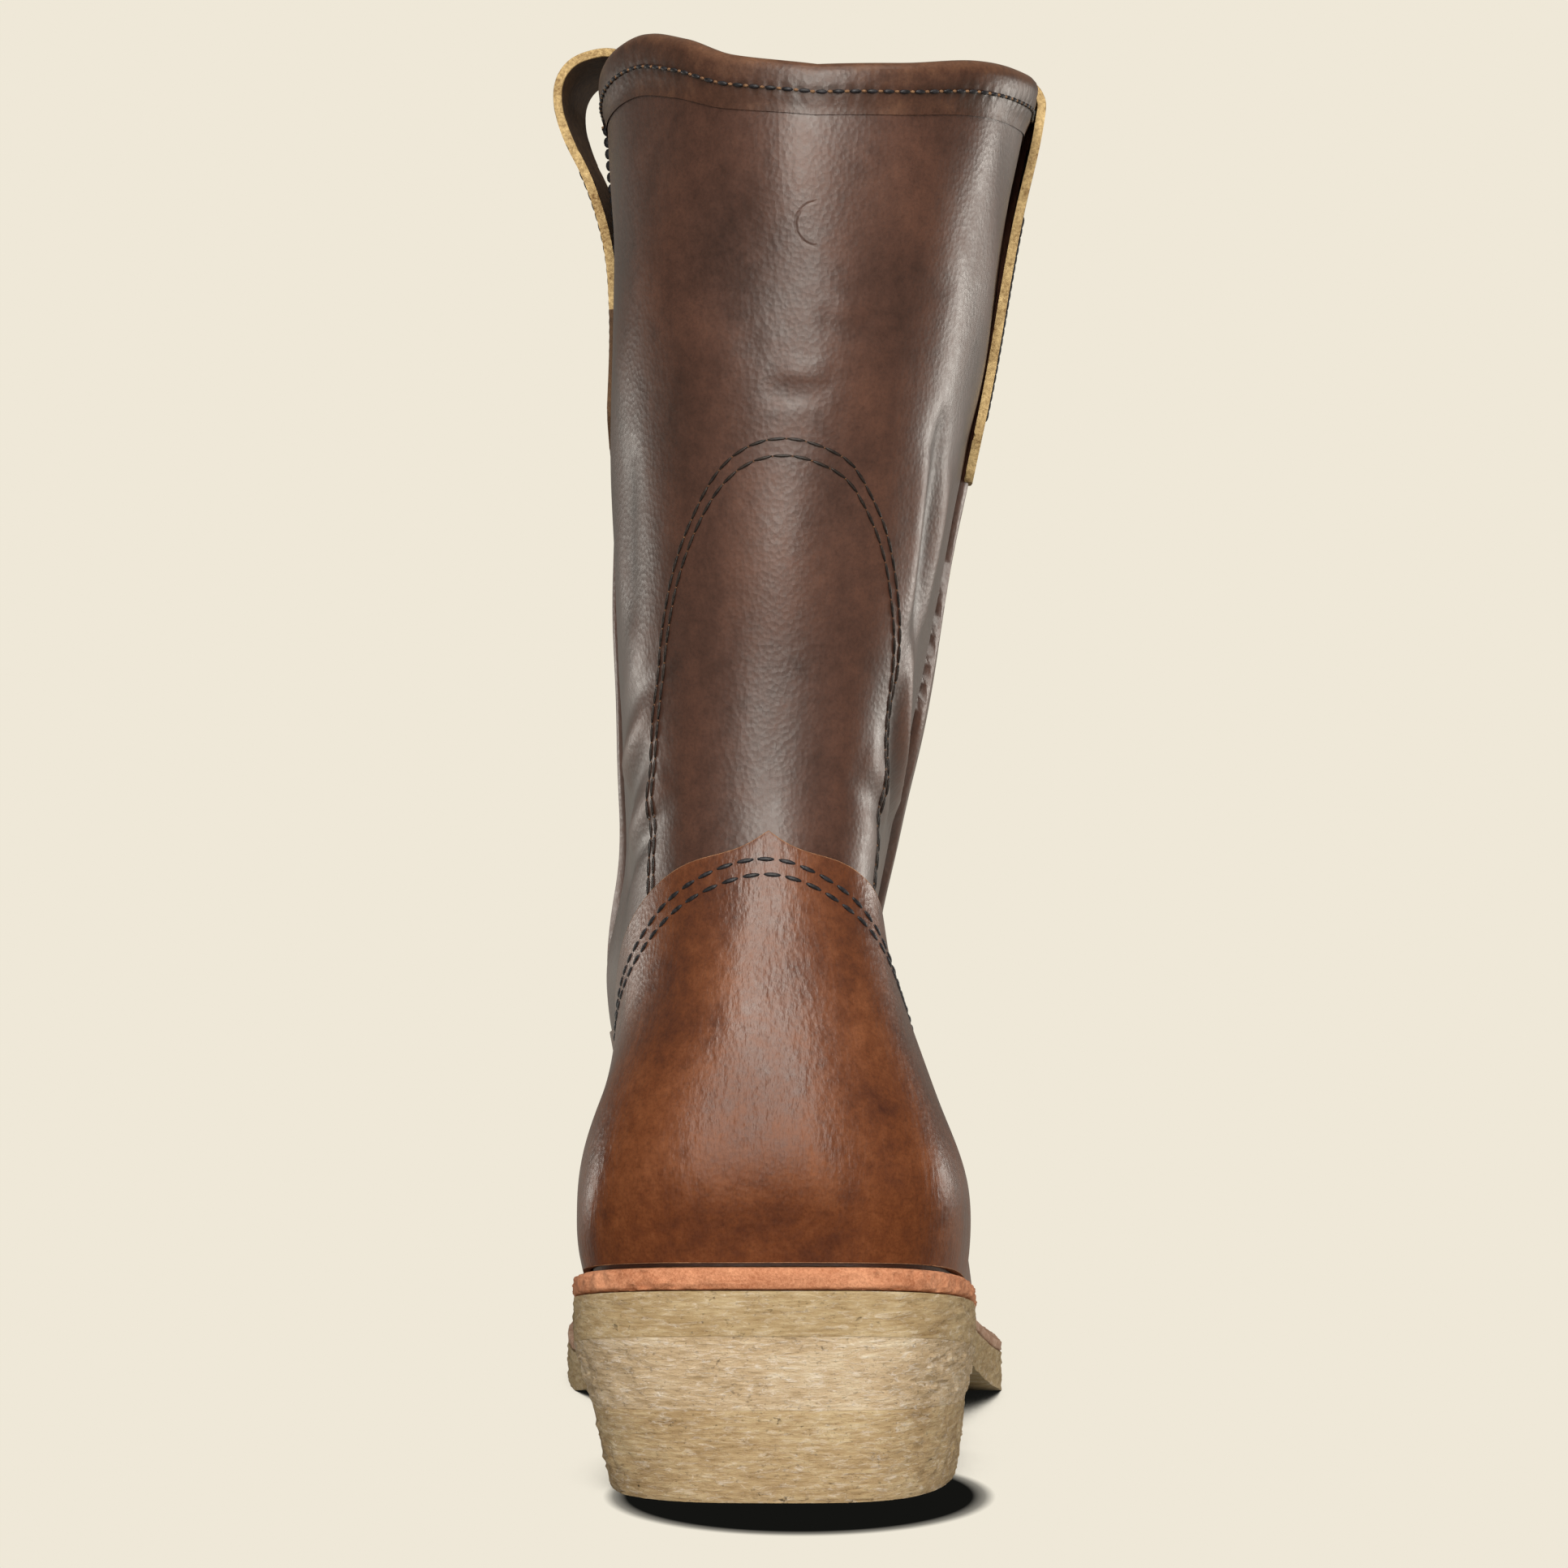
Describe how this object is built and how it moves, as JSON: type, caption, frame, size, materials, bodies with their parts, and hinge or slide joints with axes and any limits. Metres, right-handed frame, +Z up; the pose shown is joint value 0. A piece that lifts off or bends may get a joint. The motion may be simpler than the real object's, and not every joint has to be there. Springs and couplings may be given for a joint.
{
  "type": "pull-on work boot",
  "caption": "Right pull-on work boot: hollow leather shaft and foot with vamp and counter overlays, pull straps, welt and a stacked crepe sole and heel.",
  "frame": {"origin": "centre of the overall box in X and Y, on the floor plane under heel and forefoot", "axes": "+Z up the shaft, +Y from the heel to the toe, +X to the outer side of the right foot"},
  "size_m": [0.1086, 0.3004, 0.2999],
  "materials": {
    "shaft_leather": "waxed full-grain, dark brown",
    "counter_leather": "waxed full-grain, orange brown",
    "strap_leather": "strap leather with raw golden edge",
    "rand_leather": "veg-tanned, raw edge",
    "insole_leather": "plain",
    "crepe_rubber": "natural crepe, matt"
  },
  "bodies": {
    "root": {"upper": "shaft_leather", "vamp": "counter_leather", "counter": "counter_leather", "collar_binding": "shaft_leather", "pull_strap_medial": "strap_leather", "pull_strap_lateral": "strap_leather", "welt": "rand_leather", "heel_rand": "rand_leather", "insole": "insole_leather", "outsole": "crepe_rubber", "heel_lift": "crepe_rubber", "heel_top_piece": "crepe_rubber"}
  },
  "joints": []
}
